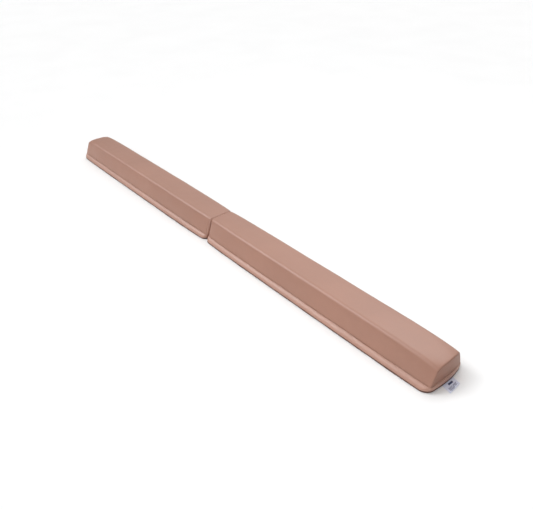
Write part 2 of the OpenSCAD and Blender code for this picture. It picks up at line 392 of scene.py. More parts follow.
def end_mesh(outer, seed):
    """An end panel: a rim that follows the seam, then a face of straight rows."""
    rc, phi = (RC_OUT, PHI_OUT) if outer else (RC_IN, PHI_IN)
    sgn = 1.0 if outer else -1.0
    plane = X_OUT if outer else X_IN
    loops = [tuck(rc, phi, .0048), tuck(rc, phi, .0018)]
    loops += [corner(rc, phi, k, after=True) for k in (0, .07, .15, .26, .38, .52, .67, .83, 1)]
    loops += [(np.zeros(M), by_side(rc) + k, np.full(M, math.pi / 2)) for k in (.0012, .0028)]
    rim, rim_n = np.zeros((len(loops), M, 3)), np.zeros((len(loops), M, 3))
    for i, (e, n, a) in enumerate(loops):
        o, q = outline(n)
        rim[i, :, 0] = plane - sgn * e
        rim[i, :, 1:] = o
        rim_n[i, :, 0] = sgn * np.sin(a)
        rim_n[i, :, 1:] = q * np.cos(a)[:, None]
    last = rim[-1]
    t = np.linspace(0, 1, TOP_N + 1)[:, None]
    face = np.array([last[i] * (1 - t) + last[M - 1 - i] * t for i in range(HALF)])
    on_rim = len(loops) * M
    verts = np.vstack([rim.reshape(-1, 3), face.reshape(-1, 3)])
    norms = np.vstack([rim_n.reshape(-1, 3), np.tile([sgn, 0, 0], (len(verts) - on_rim, 1))])
    faces = [*grid_faces(len(loops), M), *grid_faces(HALF, TOP_N + 1, off=on_rim)[:, ::-1]]
    y, z = verts[:, 1], verts[:, 2]
    w = np.clip((z - SEAM_Z) / (H - SEAM_Z), 0, 1)
    hw = np.maximum(wall_y(z), 1e-4)
    # a full or hollow middle, unevenness, and puckers at the sides
    belly = np.sin(np.pi * np.clip(w, 0, 1)) * np.clip(1 - (y / hw) ** 2, 0, 1)
    f = (0.0012 if outer else -0.0006) * belly
    f = f + 0.00012 * Waves(seed, .03, .09, 8)(y, z) * belly ** 0.5
    edge = np.clip(1 - np.abs(y) / hw, 0, 1) * hw
    f = f + 0.00014 * np.exp(-edge / 0.012) * Waves(seed + 1, .010, .022, 6)(z, z * 0)
    f = f - dive(z - SEAM_Z)
    verts = verts + norms * f[:, None]
    # painted shade at the seams: along the rim next to the cover and where the panel meets the foot band
    seam = np.zeros(len(verts))
    seam[:on_rim] = np.repeat([1, 1, 1, .6, .2] + [0] * (len(loops) - 5), M)
    seam = np.maximum(seam, np.exp(-((z - SEAM_Z) / 0.0016) ** 2))
    return pillow(verts), faces, seam


FRONT_T = np.linspace(0, 1, 191)[1:-1]
END_T = np.linspace(-1, 1, 30)[1:-1]
BACK_X = np.round(np.linspace(*SLOT_X, 187), 6)
ARC_STEPS = 10


def plan(x0, x1, hw, r0, r1, bow=0.0):
    """Closed outline of the foot seen from above, with the same number of points whatever its size."""
    pts = []

    def arc(cx, cy, r, a0, a1, bent=0.0):
        for k in range(ARC_STEPS + 1):
            a = math.radians(a0 + (a1 - a0) * k / ARC_STEPS)
            y = cy + r * math.sin(a)
            pts.append((cx + r * math.cos(a) - bent * (y / hw) ** 2, y))

    y0, y1 = hw - r0, hw - r1
    start, stop = x0 + r0, x1 - r1 - bow
    arc(x0 + r0, -y0, r0, 180, 270)
    pts += [(start + (stop - start) * t, -hw) for t in FRONT_T]
    arc(x1 - r1, -y1, r1, 270, 360, bow)
    pts += [(x1 - bow * (y1 * t / hw) ** 2, y1 * t) for t in END_T]
    arc(x1 - r1, y1, r1, 0, 90, bow)
    pts += [(x, hw) for x in BACK_X[::-1]]
    arc(x0 + r0, y0, r0, 90, 180)
    pts += [(x0, -y0 * t) for t in END_T]
    return np.array(pts)


def foot_plan(t, d=0.0, e=0.0):
    """Foot outline at t from 0, the seam, to 1, the binding; d insets the slopes and e the fold end."""
    def at(a, b):
        return a + (b - a) * t

    heel, corner_r = at(RC_IN[0], HEEL_R) - d, at(RC_OUT[0], FOOT_R) - d
    return plan(X_IN + e, at(X_OUT, BAND_X) - d, at(SEAM_Y, BAND_Y) - d,
                max(heel, .0004), max(corner_r, .0004), END_BOW * t)


def foot_ring(t, d=0.0, e=0.0, z=None):
    """The same outline as 3-D points, on the slope from seam to binding unless z is given."""
    p = foot_plan(t, d, e)
    return np.column_stack([p, np.full(len(p), SEAM_Z + (BIND_Z - SEAM_Z) * t if z is None else z)])


SLOPE = math.hypot(BAND_Y - SEAM_Y, SEAM_Z - BIND_Z)


def lengths(p):
    s = np.linalg.norm(np.diff(np.vstack([p, p[:1]]), axis=0), axis=1)
    return np.concatenate([[0], np.cumsum(s)])[:-1]


def band_mesh(seed):
    """The foot band, full between its seams, with an open slot along the back for the zipper."""
    slot_t = SLOT_V / SLOPE
    ts = [0, .03, .065, .11, .17, .32, .41, .5, .59, .68, .83, .89, .94, .98, 1]
    ts = np.array(sorted(ts + [0.5 - slot_t, 0.5 + slot_t]))
    P = np.array([foot_ring(t) for t in ts])
    N = outward(grid_normals(P, wrap=True), P)
    per = lengths(foot_plan(0.5))[None, :]
    t = ts[:, None]
    x, y = P[..., 0], P[..., 1]
    past_start = np.clip((x - SLOT_FLAT[0]) / SLOT_FADE, 0, 1)
    before_end = np.clip((SLOT_FLAT[1] - x) / SLOT_FADE, 0, 1)
    zipped = np.clip((y - 0.05) / 0.01, 0, 1) * past_start * before_end
    at_fold = np.clip(1 - (x - X_IN) / 0.004, 0, 1)
    bulge = 0.0020 * (1 - 0.92 * zipped) * (1 - 0.8 * at_fold)
    f = bulge * (4 * t * (1 - t)) ** 0.8
    # puckers, strongest under the seam, then broad unevenness, then the tucks at both edges
    amp = np.clip(0.7 + 0.5 * Waves(seed, .10, .35, 4)(per, per * 0), 0.1, 1.6)
    pucker = Waves(seed + 1, .012, .026, 7, .02)(per, t * 0.02)
    f = f + 0.00030 * amp * (0.4 + np.exp(-t * 4)) * pucker * (1 - 0.7 * zipped)
    f = f + 0.00026 * Waves(seed + 2, .06, .2, 6)(per, t * 0.02) * (1 - 0.8 * zipped)
    f = f - dive(t * SLOPE) - 0.0009 * np.exp(-((1 - t) * SLOPE / 0.0014))
    P = P + N * f[..., None]
    inside = foot_ring(0, 0.006, 0.006, SEAM_Z - 0.0008)
    low = foot_ring(1, 0.004, 0.004, BIND_Z - 0.0006)
    P = np.concatenate([inside[None], P, low[None]])
    rows, cols = P.shape[:2]
    faces = grid_faces(rows, cols, wrap=True)
    cen = P.reshape(-1, 3)[faces].mean(axis=1)
    row_t = np.concatenate([[-1], ts, [2]])
    row = faces.min(axis=1) // cols
    t_mid = (row_t[row] + row_t[np.minimum(row + 1, rows - 1)]) / 2
    in_slot = (cen[:, 1] > 0.05) & (cen[:, 0] > SLOT_X[0]) & (cen[:, 0] < SLOT_X[1])
    in_slot = in_slot & (np.abs(t_mid - 0.5) < slot_t)
    # painted shade in the creases at the band's top seam and just above the binding
    on_slope = np.clip(row_t[:, None], 0, 1) * SLOPE
    dark = np.maximum(np.exp(-(on_slope / 0.0016) ** 2), 0.8 * np.exp(-((SLOPE - on_slope) / 0.0012) ** 2))
    seam = np.zeros((rows, cols)) + dark
    return pillow(P).reshape(-1, 3), faces[~in_slot], seam.reshape(-1)


def binding_mesh(seed):
    """The woven strip folded round the foot's lower edge."""
    mid = (FOOT_Z + BIND_Z) / 2
    r = (BIND_Z - FOOT_Z) / 2
    rows = []
    for a in np.radians(np.linspace(118, -128, 15)):
        o = r * math.cos(a) - r
        p = plan(X_IN - min(o, 0), FOOT_X + o, FOOT_Y + o, HEEL_R + o, FOOT_R + o, END_BOW)
        rows.append(np.column_stack([p, np.full(len(p), mid + r * math.sin(a))]))
    P = np.array(rows)
    N = outward(grid_normals(P, wrap=True), P)
    per = lengths(P[len(rows) // 2, :, :2])[None, :]
    f = 0.00010 * Waves(seed, .009, .018, 6)(per, per * 0)
    f = f + 0.0002 * Waves(seed + 1, .05, .2, 5)(per, per * 0)
    P = P + N * f[..., None]
    P[..., 2] = np.maximum(P[..., 2], 0.0002)
    return pillow(P).reshape(-1, 3), grid_faces(len(rows), P.shape[1], wrap=True)


def bottom_mesh():
    """Underside: a turned-up rim inside the binding, then one flat face."""
    rim = [(0.0, 0.0012), (0.0, 0.0004), (0.0010, 0.0), (0.004, 0.0)]
    P = np.array([foot_ring(1, 0.0018 + d, 0.0012 + d, z) for d, z in rim])
    k = P.shape[1]
    faces = [*grid_faces(len(rim), k, wrap=True), range((len(rim) - 1) * k, len(rim) * k)]
    return pillow(P).reshape(-1, 3), faces


# ---------------- materials
INPUTS = {"color": "Base Color", "rough": "Roughness", "normal": "Normal", "spec": "Specular IOR Level",
          "sheen": "Sheen Weight", "coat": "Coat Weight", "coat_rough": "Coat Roughness", "metal": "Metallic",
          "inner": "Subsurface Weight", "glow": "Emission Color", "glow_power": "Emission Strength"}


def new_mat(name):
    """A material with only its shader and output, its node tree and its object coordinates."""
    m = bpy.data.materials.new(name)
    m.use_nodes = True
    nt = m.node_tree
    for n in list(nt.nodes):
        if n.type not in ("BSDF_PRINCIPLED", "OUTPUT_MATERIAL"):
            nt.nodes.remove(n)
    return m, nt, coords(nt)


def finished(m, **inputs):
    """The material, with its shader's inputs set to values or connected to sockets."""
    for key, v in inputs.items():
        socket = m.node_tree.nodes["Principled BSDF"].inputs[INPUTS[key]]
        if isinstance(v, (int, float, tuple)):
            socket.default_value = v
        else:
            m.node_tree.links.new(v, socket)
    return m


def node(nt, kind, **props):
    n = nt.nodes.new(kind)
    for k, v in props.items():
        if k in n.inputs:
            n.inputs[k].default_value = v
        else:
            setattr(n, k, v)
    return n


def coords(nt, scale=(1, 1, 1)):
    tc = node(nt, "ShaderNodeTexCoord")
    mp = node(nt, "ShaderNodeMapping", Scale=scale)
    nt.links.new(tc.outputs["Object"], mp.inputs["Vector"])
    return mp.outputs["Vector"]


def noise(nt, vec, scale, detail=2.0, rough=0.5):
    n = node(nt, "ShaderNodeTexNoise", Scale=scale, Detail=detail, Roughness=rough)
    nt.links.new(vec, n.inputs["Vector"])
    return n.outputs["Fac"]


def voronoi(nt, vec, scale, rnd=1.0):
    n = node(nt, "ShaderNodeTexVoronoi", Scale=scale, Randomness=rnd)
    nt.links.new(vec, n.inputs["Vector"])
    return n.outputs["Distance"]


def wave(nt, vec, scale, distortion, direction):
    n = node(nt, "ShaderNodeTexWave", Scale=scale, Distortion=distortion, bands_direction=direction)
    nt.links.new(vec, n.inputs["Vector"])
    return n.outputs["Fac"]


def ramp(nt, fac, stops):
    n = nt.nodes.new("ShaderNodeValToRGB")
    el = n.color_ramp.elements
    for e, (pos, col) in zip(el, stops):
        e.position = pos
        e.color = (*col, 1)
    nt.links.new(fac, n.inputs["Fac"])
    return n.outputs["Color"]


def to_range(nt, fac, lo, hi, a=0.3, b=0.7, kind="LINEAR"):
    n = node(nt, "ShaderNodeMapRange", interpolation_type=kind)
    for k, v in zip(("From Min", "From Max", "To Min", "To Max"), (a, b, lo, hi)):
        n.inputs[k].default_value = v
    nt.links.new(fac, n.inputs["Value"])
    return n.outputs["Result"]


def fill_inputs(nt, n, pairs):
    for i, v in pairs:
        if isinstance(v, (int, float)):
            n.inputs[i].default_value = v
        elif isinstance(v, tuple):
            n.inputs[i].default_value = (*v, 1)
        else:
            nt.links.new(v, n.inputs[i])


def math_node(nt, op, a, b):
    n = node(nt, "ShaderNodeMath", operation=op)
    fill_inputs(nt, n, enumerate((a, b)))
    return n.outputs[0]


def mix_col(nt, fac, a, b, mode="MIX"):
    n = node(nt, "ShaderNodeMix", data_type="RGBA", blend_type=mode)
    fill_inputs(nt, n, ((0, fac), (6, a), (7, b)))
    return n.outputs[2]


def bump(nt, height, distance, strength, prev=None):
    n = node(nt, "ShaderNodeBump", Strength=strength, Distance=distance)
    nt.links.new(height, n.inputs["Height"])
    if prev is not None:
        nt.links.new(prev, n.inputs["Normal"])
    return n.outputs["Normal"]


def shade(col, k):
    return tuple(min(c * k, 1.0) for c in col)


def grey(k):
    return (k, k, k)


ROSE = (0.374, 0.187, 0.131)
# the foot band's lighter rose is painted light: its slope faces up towards the lamps
BAND_ROSE_PAINTED_LIGHT = (0.460, 0.250, 0.186)


def vinyl(name, base, rough=0.50, spec=0.5, coat=0.30):
    """Smooth upholstery vinyl: fine pebble grain, soft sheen, faint mottling, and painted shade darkening the
    seams.
    """
    m, nt, v = new_mat(name)
    broad = noise(nt, v, 5.0, 3.0, 0.55)
    fine = noise(nt, v, 70.0, 4.0, 0.6)
    c1 = ramp(nt, broad, [(0.30, shade(base, 0.955)), (0.70, shade(base, 1.045))])
    c2 = ramp(nt, fine, [(0.30, (0.965, 0.960, 0.957)), (0.70, grey(1.0))])
    col = mix_col(nt, 1.0, c1, c2, "MULTIPLY")
    # painted shade: the colour darkens towards shade(base, 0.55) where the seam attribute marks a crease
    seam = node(nt, "ShaderNodeAttribute", attribute_name="seam").outputs["Fac"]
    col = mix_col(nt, math_node(nt, "MULTIPLY", seam, 0.26), col, shade(base, 0.55))
    cells = math_node(nt, "MULTIPLY", voronoi(nt, v, 1250.0, 0.9), 0.8)
    pores = math_node(nt, "MULTIPLY", noise(nt, v, 2300.0, 2.0, 0.6), 0.35)
    swell = bump(nt, noise(nt, v, 38.0, 3.0, 0.5), 0.0009, 0.16)
    grain = bump(nt, math_node(nt, "ADD", cells, pores), 0.00008, 0.40, swell)
    r = to_range(nt, fine, rough - 0.04, rough + 0.05)
    return finished(m, color=col, normal=grain, rough=r, spec=spec, coat=coat, coat_rough=0.30)


def weave(name, base, pitch, depth, rough=0.85):
    """Woven fabric: warp and weft ridges, fibre noise and colour variation."""
    m, nt, v = new_mat(name)
    warp, weft = (wave(nt, v, 1 / pitch / 6.283, 0.6, direction) for direction in "XY")
    fibre = noise(nt, v, 1 / pitch * 2.5, 3.0, 0.7)
    h = math_node(nt, "ADD", warp, weft)
    h = math_node(nt, "ADD", h, math_node(nt, "MULTIPLY", fibre, 0.8))
    c1 = ramp(nt, math_node(nt, "MULTIPLY", h, 0.4), [(0.2, shade(base, 0.72)), (0.9, shade(base, 1.15))])
    c2 = ramp(nt, noise(nt, v, 18.0, 3.0, 0.5), [(0.3, grey(0.93)), (0.7, grey(1))])
    r = to_range(nt, fibre, rough - 0.05, min(rough + 0.08, 1.0))
    return finished(m, color=mix_col(nt, 1.0, c1, c2, "MULTIPLY"), normal=bump(nt, h, depth, 0.6), rough=r,
                    sheen=0.15, spec=0.3)


def grip(name, base):
    """Non-slip backing: dark fabric with rows of raised rubber dots."""
    m, nt, v = new_mat(name)
    dots = to_range(nt, voronoi(nt, v, 1 / 0.0075, 0.0), 1.0, 0.0, 0.22, 0.34, "SMOOTHSTEP")
    fibre = noise(nt, v, 900.0, 3.0, 0.6)
    fabric = ramp(nt, fibre, [(0.3, shade(base, 0.7)), (0.7, shade(base, 1.5))])
    h = math_node(nt, "ADD", dots, math_node(nt, "MULTIPLY", fibre, 0.25))
    return finished(m, color=mix_col(nt, dots, fabric, shade(base, 0.45)), normal=bump(nt, h, 0.0005, 0.7),
                    rough=to_range(nt, dots, 0.9, 0.48, 0.0, 1.0))


def foam(name, base, cell):
    """Closed-cell foam, as cut."""
    m, nt, v = new_mat(name)
    cells = voronoi(nt, v, 1 / cell)
    c1 = ramp(nt, cells, [(0.05, shade(base, 0.80)), (0.5, shade(base, 1.04))])
    c2 = ramp(nt, noise(nt, v, 14.0, 3.0, 0.5), [(0.3, (0.95, 0.95, 0.94)), (0.7, grey(1))])
    return finished(m, color=mix_col(nt, 1.0, c1, c2, "MULTIPLY"), normal=bump(nt, cells, cell * 0.4, 0.8),
                    rough=0.92, spec=0.2)


def metal(name, base, rough=0.32):
    """Cast zinc, finely scratched and a little worn."""
    m, nt, v = new_mat(name)
    scratches = noise(nt, v, 700.0, 4.0, 0.6)
    wear = noise(nt, v, 160.0, 3.0, 0.5)
    return finished(m, color=ramp(nt, wear, [(0.3, shade(base, 0.86)), (0.7, base)]), metal=1.0,
                    rough=to_range(nt, scratches, rough - 0.08, rough + 0.14),
                    normal=bump(nt, scratches, 0.00003, 0.4))


def thread(name, base):
    """Twisted sewing thread."""
    m, nt, v = new_mat(name)
    twist = wave(nt, v, 520.0, 1.0, "DIAGONAL")
    return finished(m, color=ramp(nt, twist, [(0.2, shade(base, 0.75)), (0.8, shade(base, 1.1))]),
                    normal=bump(nt, twist, 0.00008, 0.6), rough=0.6, sheen=0.2)


def satin(name, base):
    """Label satin: fine warp floats along X, a slight gloss."""
    m, nt, v = new_mat(name)
    floats = noise(nt, coords(nt, (300, 5200, 300)), 1.0, 3.0, 0.6)
    soft = noise(nt, v, 90.0, 2.0, 0.5)
    return finished(m, color=ramp(nt, soft, [(0.3, shade(base, 0.93)), (0.7, base)]), sheen=0.2,
                    normal=bump(nt, floats, 0.00005, 0.5), rough=to_range(nt, floats, 0.36, 0.55))


def nylon(name, base):
    """Slightly translucent nylon teeth."""
    m, nt, v = new_mat(name)
    n = noise(nt, v, 400.0, 3.0, 0.6)
    return finished(m, color=ramp(nt, n, [(0.3, shade(base, 0.85)), (0.7, shade(base, 1.1))]), inner=0.05,
                    rough=to_range(nt, n, 0.32, 0.5), normal=bump(nt, n, 0.00004, 0.3))


def print_ink(name, base):
    """Worn printing ink."""
    m, nt, v = new_mat(name)
    n = noise(nt, v, 1500.0, 3.0, 0.7)
    return finished(m, color=ramp(nt, n, [(0.25, shade(base, 1.5)), (0.6, base)]), rough=0.6)


MAT = {
    "cover": vinyl("cover_vinyl", ROSE, 0.42),
    # the outer end panels are darker: painted shade for end faces that turn away from the light
    "end": vinyl("end_vinyl", shade(ROSE, 0.90), 0.48, spec=0.3, coat=0.05),
    # band vinyl: lighter rose as painted light
    "band": vinyl("band_vinyl", BAND_ROSE_PAINTED_LIGHT, 0.40),
    "binding": weave("binding_strip", (0.150, 0.070, 0.052), 0.0006, 0.00012),
    "hinge": vinyl("hinge_vinyl", shade(ROSE, 0.97), 0.44),
    "grip": grip("grip_fabric", (0.040, 0.038, 0.038)),
    "core": foam("core_foam", (0.80, 0.78, 0.72), 0.0022),
    "pad": foam("pad_foam", (0.82, 0.68, 0.40), 0.0012),
    "ztape": weave("zipper_fabric", (0.300, 0.150, 0.110), 0.0005, 0.0001),
    "zmetal": metal("zipper_metal", (0.62, 0.61, 0.59)),
    "thread": thread("stitch_thread", (0.42, 0.23, 0.17)),
    "label": satin("label_satin", (0.76, 0.79, 0.94)),
    "nylon": nylon("zipper_nylon", (0.270, 0.135, 0.100)),
    "ink": print_ink("label_ink", (0.045, 0.055, 0.13)),
}

# ---------------- stitches
def capsule_row(points, dirs, ups, length, r, seg=6):
    """Stitches: one short rounded bar for each point, along dirs and raised in the middle along ups."""
    ts = np.array([-1, -0.8, -0.4, 0, 0.4, 0.8, 1.0])
    radii = np.array([0.15, 0.75, 1, 1, 1, 0.75, 0.15]) * r
    lift = (1 - ts ** 2) * r * 0.6 - r * 0.2
    side = np.cross(dirs, ups)
    V = []
    for t, rad, up in zip(ts, radii, lift):
        for a in np.arange(seg) / seg * 2 * math.pi:
            off = ups * (up + rad * math.sin(a)) + side * (rad * math.cos(a))
            V.append(points + dirs * (t * length / 2) + off)
    V = np.stack(V, 1)
    n, k = V.shape[:2]
    ring = grid_faces(len(ts), seg, wrap=True)[:, ::-1]
    faces = [tuple(q) for q in (ring[None] + (np.arange(n) * k)[:, None, None]).reshape(-1, 4)]
    caps = [range(seg), range(k - seg, k)[::-1]]
    for i in range(n):
        faces += [tuple(c + i * k for c in cap) for cap in caps]
    return V.reshape(-1, 3), faces


def spaced(path, step, closed=True):
    """Evenly spaced points and directions along a polyline."""
    p = np.vstack([path, path[:1]]) if closed else path
    s = np.concatenate([[0], np.cumsum(np.linalg.norm(np.diff(p, axis=0), axis=1))])
    n = max(int(s[-1] / step), 2)
    q = (np.arange(n) + 0.5) / n * s[-1]

    def at(u):
        return np.stack([np.interp(u, s, p[:, k]) for k in range(3)], 1)

    d = at(q + 1e-4) - at(q - 1e-4)
    return at(q), d / np.maximum(np.linalg.norm(d, axis=1, keepdims=True), 1e-12)


def binding_stitches(side, s):
    """Stitches that hold the binding, just above it."""
    path = foot_ring(.93)
    normals = grid_normals(np.array([foot_ring(t) for t in (.9, .93, .96)]), wrap=True)[1]
    normals = outward(normals, path)
    path = pillow(path + normals * 0.0004)
    pts, dirs = spaced(path, 0.0042)
    near = np.argmin(np.linalg.norm(pts[:, None, :2] - path[None, :, :2], axis=2), axis=1)
    v, f = flipped(*capsule_row(pts, dirs, normals[near], 0.0028, 0.00030), s)
    place(make_obj(f"{side}_binding_stitches", v, f, MAT["thread"]), f"{side}_half")


# ---------------- building a half
def half(side, s, seed):
    """Cover, end panels, foot band, binding and underside of one half."""
    body = f"{side}_half"
    wrap = shell(f"{side}_cover_wrap_vinyl", wrap_mesh(seed), s, "cover", VINYL_T)
    place(wrap, body, f"{side}_cover_wrap")
    for which, outer in (("outer", True), ("inner", False)):
        mesh = end_mesh(outer, seed + 20 + outer)
        # the inner end panels take the lighter band vinyl: painted light on the rounded fold edge
        panel = shell(f"{side}_{which}_end_vinyl", mesh, s, "end" if outer else "band", VINYL_T)
        weld(panel)
        place(panel, body, f"{side}_{which}_end_panel")
    band = shell(f"{side}_foot_band_vinyl", band_mesh(seed + 40), s, "band", VINYL_T)
    place(band, body, f"{side}_base_band")
    strip = shell(f"{side}_foot_binding", binding_mesh(seed + 60), s, "binding", BINDING_T)
    place(strip, body, f"{side}_base_binding")
    bottom = shell(f"{side}_grip_bottom", bottom_mesh(), s, "grip", GRIP_T)
    place(bottom, body, f"{side}_bottom_panel")
    binding_stitches(side, s)


def foam_blocks(side, s):
    """Three foam blocks inside the cover, with softened edges."""
    gap = COVER + 0.0030

    def slab(name, rows, mat, replaced):
        P = np.array(rows)
        k = P.shape[1]
        faces = [*grid_faces(len(P), k, wrap=True), range(k)[::-1], range((len(P) - 1) * k, len(P) * k)]
        v, f = flipped(pillow(P).reshape(-1, 3), faces, s)
        ob = facing_out(make_obj(name, v, f, MAT[mat], smooth=False), (s * MID_X, 0, P[..., 2].mean()))
        bev = ob.modifiers.new("soft_edges", "BEVEL")
        bev.width, bev.segments, bev.limit_method, bev.angle_limit = 0.0012, 2, "ANGLE", 0.7
        place(ob, f"{side}_half", replaced)

    def along(section):
        """The section repeated from end to end."""
        x0, x1 = X_IN + 0.0050, X_OUT - 0.0050
        xs = [x0, x0 + 0.02, *np.linspace(x0 + 0.06, x1 - 0.06, 12), x1 - 0.02, x1]
        return [np.column_stack([np.full(len(section), x), section]) for x in xs]

    levels = [(1, 0.0016), (1, BIND_Z), (0, SEAM_Z - 0.0004)]
    foot = [foot_ring(t, 0.0062, 0.0045, z) for t, z in levels]
    slab(f"{side}_foot_foam", foot, "core", f"{side}_base_core")
    y0 = wall_y(SEAM_Z + 0.001) - gap / CT
    y1 = wall_y(PAD_Z) - gap / CT
    z0, z1 = SEAM_Z + 0.0008, PAD_Z - 0.0002
    block = np.array([(-y0, z0), (-y1, z1), (y1, z1), (y0, z0)])
    slab(f"{side}_core_foam", along(block), "core", f"{side}_main_core")
    o, _ = outline(gap)
    crown = np.vstack([[(-y1, PAD_Z)], o[o[:, 1] > PAD_Z + 0.001], [(y1, PAD_Z)]])
    slab(f"{side}_pad_foam", along(crown), "pad", f"{side}_top_pad")


# ---------------- zippers
def from_zip(u, v, w):
    """A point u along the zipper, v across it and w out of the back slope of the foot band."""
    v, w = np.asarray(v, float), np.asarray(w, float)
    ny, nz = (SEAM_Z - BIND_Z) / SLOPE, (BAND_Y - SEAM_Y) / SLOPE
    y0 = (BAND_Y + SEAM_Y) / 2 - COVER * ny
    z0 = (SEAM_Z + BIND_Z) / 2 - COVER * nz
    y, z = y0 + v * nz + w * ny, z0 - v * ny + w * nz
    return np.stack([np.broadcast_to(np.asarray(u, float), y.shape), y, z], -1)


ZIP_UP = from_zip(0, 0, 1) - from_zip(0, 0, 0)
TEETH_PITCH = 0.00150


def zipper_tape(side, s):
    """Two woven strips with a raised cord by the teeth."""
    lo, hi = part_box("right_zipper_tape")
    xs = np.linspace(lo.x, hi.x, 160)
    edge = [(.0049, .00025), (.0047, .00055), (.0040, .0007), (.0030, .00075), (.0024, .0010), (.0016, .0008)]
    across = [(-v, w) for v, w in edge] + [(0, .0006)] + edge[::-1]
    wob = Waves(91 + (s > 0), .05, .2, 5)
    P = np.stack([from_zip(xs, v + 0 * xs, w + 0.00012 * wob(xs, xs * 0 + v * 6)) for v, w in across], 1)
    mesh = (P.reshape(-1, 3), grid_faces(len(xs), len(across)))
    tape = shell(f"{side}_zipper_tape_woven", mesh, s, "ztape", 0.0004, (s * MID_X, 0.0, 0.0))
    place(tape, f"{side}_half", f"{side}_zipper_tape")


def zipper_teeth(side, s):
    """Interlocking teeth, one set from each side."""
    lo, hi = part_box("right_zipper_coil")
    prof = np.array([(-1, -1), (-1, -.3), (-.75, .45), (-.3, .9), (.3, .9), (.75, .45), (1, -.3), (1, -1)])
    stations = [(-1.0, 0.55), (-0.93, 0.85), (-0.3, 1.0), (0.6, 1.0), (0.94, 1.15), (1.0, 0.7)]
    tooth = []
    for a, wide in stations:
        tall = 0.00072 * (0.72 if abs(a) > 0.95 else 1)
        tooth += [(pu * 0.00048 * wide, a * 0.00135, 0.0016 + pw * tall) for pu, pw in prof]
    tooth = np.array(tooth)
    k = len(prof)
    faces = [*grid_faces(len(stations), k, wrap=True), range(k)[::-1], range(len(tooth) - k, len(tooth))]
    row = []
    for i in range(int((hi.x - lo.x) / TEETH_PITCH)):
        sg = 1 if i % 2 else -1
        u = tooth[:, 0] * sg + lo.x + (i + 0.5) * TEETH_PITCH
        row.append((from_zip(u, sg * tooth[:, 1] - sg * 0.00075, tooth[:, 2]), faces))
    v, f = flipped(*merged(row), s)
    ob = make_obj(f"{side}_zipper_teeth", v, f, MAT["nylon"])
    edit(ob, lambda bm: bmesh.ops.recalc_face_normals(bm, faces=bm.faces))
    place(ob, f"{side}_half", f"{side}_zipper_coil")


def zipper_stitches(side, s):
    """A stitch row along each edge of the slot."""
    lo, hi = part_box("right_zipper_tape")
    rows = []
    for v in (-0.0060, 0.0060):
        line = from_zip(np.linspace(lo.x - 0.001, hi.x + 0.001, 200), np.full(200, v), np.full(200, 0.00165))
        pts, dirs = spaced(pillow(line), 0.0036, closed=False)
        ups = np.tile(ZIP_UP / np.linalg.norm(ZIP_UP), (len(pts), 1))
        rows.append(capsule_row(pts, dirs, ups, 0.0025, 0.00028))
    v, f = flipped(*merged(rows), s)
    place(make_obj(f"{side}_zipper_stitches", v, f, MAT["thread"]), f"{side}_half")


def prism(bm, near, far):
    """A closed prism between two matching rings of points."""
    a = [bm.verts.new(p) for p in near]
    b = [bm.verts.new(p) for p in far]
    bm.faces.new(a)
    bm.faces.new(b[::-1])
    for i in range(len(a)):
        j = (i + 1) % len(a)
        bm.faces.new((a[i], b[i], b[j], a[j]))


def lying(ring, w0, w1):
    """Prism from a ring (u, v), between two heights above the tape."""
    return [from_zip(u, v, w0) for u, v in ring], [from_zip(u, v, w1) for u, v in ring]


def upright(ring, v0, v1):
    """Prism from a ring (u, w), between two places across the tape."""
    return [from_zip(u, v0, w) for u, w in ring], [from_zip(u, v1, w) for u, w in ring]


def metal_piece(name, s, prisms, body, replaced, bevel):
    bm = bmesh.new()
    for near, far in prisms:
        prism(bm, near, far)
    bmesh.ops.recalc_face_normals(bm, faces=bm.faces)
    me = bpy.data.meshes.new(name)
    bm.to_mesh(me)
    bm.free()
    if s < 0:
        me.transform(Matrix.Scale(-1, 4, (1, 0, 0)))
        me.flip_normals()
    ob = bpy.data.objects.new(name, me)
    scene.collection.objects.link(ob)
    me.materials.append(MAT["zmetal"])
    me.polygons.foreach_set("use_smooth", [True] * len(me.polygons))
    bev = ob.modifiers.new("edges", "BEVEL")
    bev.width, bev.segments, bev.limit_method, bev.angle_limit = bevel, 3, "ANGLE", 0.6
    bev.harden_normals = False
    place(ob, body, replaced)
    return ob


def box_ring(u0, u1, v0, v1):
    return [(u0, v0), (u1, v0), (u1, v1), (u0, v1)]


def zipper_stops(side, s):
    lo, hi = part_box("right_zipper_stops")
    long, hv, cut_u, cut_v = 0.004, 0.0035, 0.0006, 0.0003
    prisms = []
    for a, b in ((lo.x, lo.x + long), (hi.x - long, hi.x)):
        low = [(a, cut_v - hv), (a + cut_u, -hv), (b - cut_u, -hv), (b, cut_v - hv)]
        prisms.append(lying(low + [(u, -v) for u, v in low[::-1]], 0.0008, 0.0030))
    metal_piece(f"{side}_zipper_end_stops", s, prisms, f"{side}_half", f"{side}_zipper_stops", 0.0004)


def slider_middle():
    lo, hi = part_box("right_zipper_slider")
    return (lo.x + hi.x) / 2, (hi.x - lo.x) / 2


def zipper_slider(side, s):
    """Top shield, two side flanges and the bridge that holds the pull."""
    c, hl = slider_middle()
    shield = []
    for a in np.arange(28) / 28 * 2 * math.pi:
        ca, sa = math.cos(a), math.sin(a)
        u = hl * math.copysign(abs(ca) ** 0.75, ca)
        shield.append((c + u, 0.0040 * math.copysign(abs(sa) ** 0.55, sa) * (1 - 0.12 * (u / hl))))
    rise = [(-.0036, .0038), (-.0036, .0056), (-.0031, .0066), (-.0020, .0072)]
    under = [(.0026, .0038), (.0026, .0054), (.0020, .0061)]
    bridge = rise + [(-u, w) for u, w in rise[::-1]] + under + [(-u, w) for u, w in under[::-1]]
    prisms = [lying(shield, 0.0027, 0.0040), upright([(c + u, w) for u, w in bridge], -0.0012, 0.0012)]
    for v0, v1 in ((.0028, .0038), (-.0038, -.0028)):
        prisms.append(lying(box_ring(c - .0046, c + .0046, v0, v1), 0.0013, 0.0029))
    metal_piece(f"{side}_zipper_slider_cast", s, prisms, f"{side}_slider", f"{side}_zipper_slider", 0.00022)


